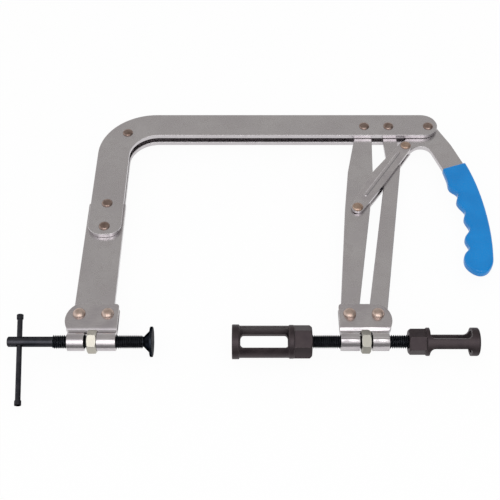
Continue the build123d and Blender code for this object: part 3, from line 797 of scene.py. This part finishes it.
# %% Put the finishes on
finishes = {"frame_steel": rolled, "bracket_steel": folded, "rivet_steel": smooth_copper, "nut_zinc": bright_zinc,
            "dark_steel": oiled_threads, "adapter_steel": phosphated, "grip_vinyl": vinyl}
slot_of = {row["node"]: row["material_slot"] for row in frame["record"]["subparts"]}
dressed = {piece: finishes[slot_of[name]] for name, piece in nodes.items()}
dressed.update({stud: oiled_threads, screw: oiled_threads, grip: vinyl, left_fold: folded, right_fold: folded,
                front_link: pressed, rear_link: pressed})
for name in ("frame_rivets", "arm_pivot_rivets", "lever_pivot_rivet"):
    dressed[nodes[name]] = struck_copper
for name in ("link_crank_rivet", "link_arm_rivet"):
    dressed[nodes[name]] = link_copper
for name in ("tommy_bar", "tommy_bar_caps"):
    dressed[nodes[name]] = turned_bars
dressed[nodes["right_nut"]] = dull_zinc
for piece, finish in dressed.items():
    piece.data.materials.clear()
    piece.data.materials.append(finish)
screw.data.materials.append(turned_bars)
for face in screw.data.polygons:
    face.material_index = int(face.center.x < thread_start)
print("finishes:", ", ".join(sorted({finish.name for finish in dressed.values()})))

# %% [markdown]
# ## Studio
# Metal shows its surroundings more than itself, so the light is built like a product studio. The
# bench is white, and so is the room, to the camera and in reflections. To everything else the
# bench is plain painted board, so it still takes the tool's soft shadow.

# %% Bench and room
bpy.ops.object.select_all(action="DESELECT")
bpy.ops.mesh.primitive_plane_add(size=16, location=(0.1, 0.1, cad_box[0][2]))
bench = bpy.context.object
bench.name = "bench"
white_bench, shader, place = new_finish("white_bench")
rays = add(white_bench, "ShaderNodeLightPath")
seen = add(white_bench, "ShaderNodeMath", {0: rays.outputs["Is Camera Ray"], 1: rays.outputs["Is Glossy Ray"]},
           operation="MAXIMUM")
seen = add(white_bench, "ShaderNodeMath", {0: seen.outputs[0], 1: rays.outputs["Is Transmission Ray"]},
           operation="MAXIMUM")
share = add(white_bench, "ShaderNodeMath", {0: seen.outputs[0], 1: 0.95}, operation="MULTIPLY")
connect(white_bench, shader, {"Base Color": linear("#F4F4F4"), "Roughness": 0.9, "Specular IOR Level": 0.0})
glow = add(white_bench, "ShaderNodeEmission", {"Color": linear("#FFFFFF"), "Strength": 1.0})
mixed = add(white_bench, "ShaderNodeMixShader", {0: share.outputs[0], 1: shader.outputs[0], 2: glow.outputs[0]})
connect(white_bench, white_bench.node_tree.nodes["Material Output"], {"Surface": mixed.outputs[0]})
bench.data.materials.append(white_bench)

room = bpy.data.worlds.new("white_room")
room.use_nodes = True
scene.world = room
lit = room.node_tree.nodes["Background"]
connect(room, lit, {"Color": linear("#FFFFFF"), "Strength": 0.8})
rays = add(room, "ShaderNodeLightPath")
seen = add(room, "ShaderNodeMath", {0: rays.outputs["Is Camera Ray"], 1: rays.outputs["Is Glossy Ray"]},
           operation="MAXIMUM")
seen = add(room, "ShaderNodeMath", {0: seen.outputs[0], 1: rays.outputs["Is Transmission Ray"]},
           operation="MAXIMUM")
white = add(room, "ShaderNodeBackground", {"Color": linear("#FFFFFF"), "Strength": 1.0})
both = add(room, "ShaderNodeMixShader", {0: seen.outputs[0], 1: lit.outputs[0], 2: white.outputs[0]})
connect(room, room.node_tree.nodes["World Output"], {"Surface": both.outputs[0]})
scene.view_settings.view_transform = "Standard"
print("bench at", round(cad_box[0][2] / mm, 2), "mm")

# %% [markdown]
# Grey cards stand in for the darker parts of a studio. The flat plates mirror the one behind the
# tool, which makes them mid grey between bright edges. Two lie low in front, where the undersides
# of the round barrels and screws look, and give them their dark lower band. One at the right
# shades each flank that faces it, so that ribs and heads have a darker side.

# %% Grey cards
def card(name, tint, middle, width, height, flat=False):
    """A studio card that faces the tool, or lies flat on the bench. Only reflections see it."""
    bpy.ops.object.select_all(action="DESELECT")
    bpy.ops.mesh.primitive_plane_add(size=1, location=middle)
    made = bpy.context.object
    made.name = name
    made.scale = (width, height, 1)
    if not flat:
        made.rotation_euler = (throat_middle - made.location).to_track_quat("Z", "Y").to_euler()
    paint = bpy.data.materials.new(name)
    paint.use_nodes = True
    glow = add(paint, "ShaderNodeEmission", {"Color": linear(tint), "Strength": 1.0})
    connect(paint, paint.node_tree.nodes["Material Output"], {"Surface": glow.outputs[0]})
    made.data.materials.append(paint)
    made.visible_camera = made.visible_diffuse = made.visible_shadow = made.visible_transmission = False
    return made


card("grey_card_behind", "#C2C1BE", (0.09, 1.61, 2.18), 7.0, 4.9)
card("grey_card_in_front", "#8C8C8C", (0.09, -1.5, 0.2), 4.0, 0.4)
card("grey_card_on_bench", "#8C8C8C", (0.09, -0.7685, cad_box[0][2] + 0.2 * mm), 4.0, 1.463, flat=True)
card("grey_card_at_right", "#9A9A9A", (2.08, 0.27, 0.93), 2.6, 1.7)

# %% [markdown]
# Two soft boxes stand left and right of the camera, at its height. That is what puts two glints on
# the grip's round end, one bright band along each barrel, and a bright edge wherever a plate
# stands on another one, since the corner between them sends light straight back to the camera.

# %% Soft boxes
for side, name in ((-1, "left_softbox"), (1, "right_softbox")):
    box_data = bpy.data.lights.new(name, "AREA")
    box_data.shape = "RECTANGLE"
    box_data.size = 0.5
    box_data.size_y = 0.86
    box_data.energy = 2.7
    box = bpy.data.objects.new(name, box_data)
    scene.collection.objects.link(box)
    box.location = (throat_middle.x + side * 0.376, -0.826, 1.122)
    box.rotation_euler = (throat_middle - box.location).to_track_quat("-Z", "Y").to_euler()
    box.visible_camera = False
    print(name, "distance:", round((throat_middle - box.location).length, 2), "m")

# %% Close the scene
bpy.context.view_layer.update()
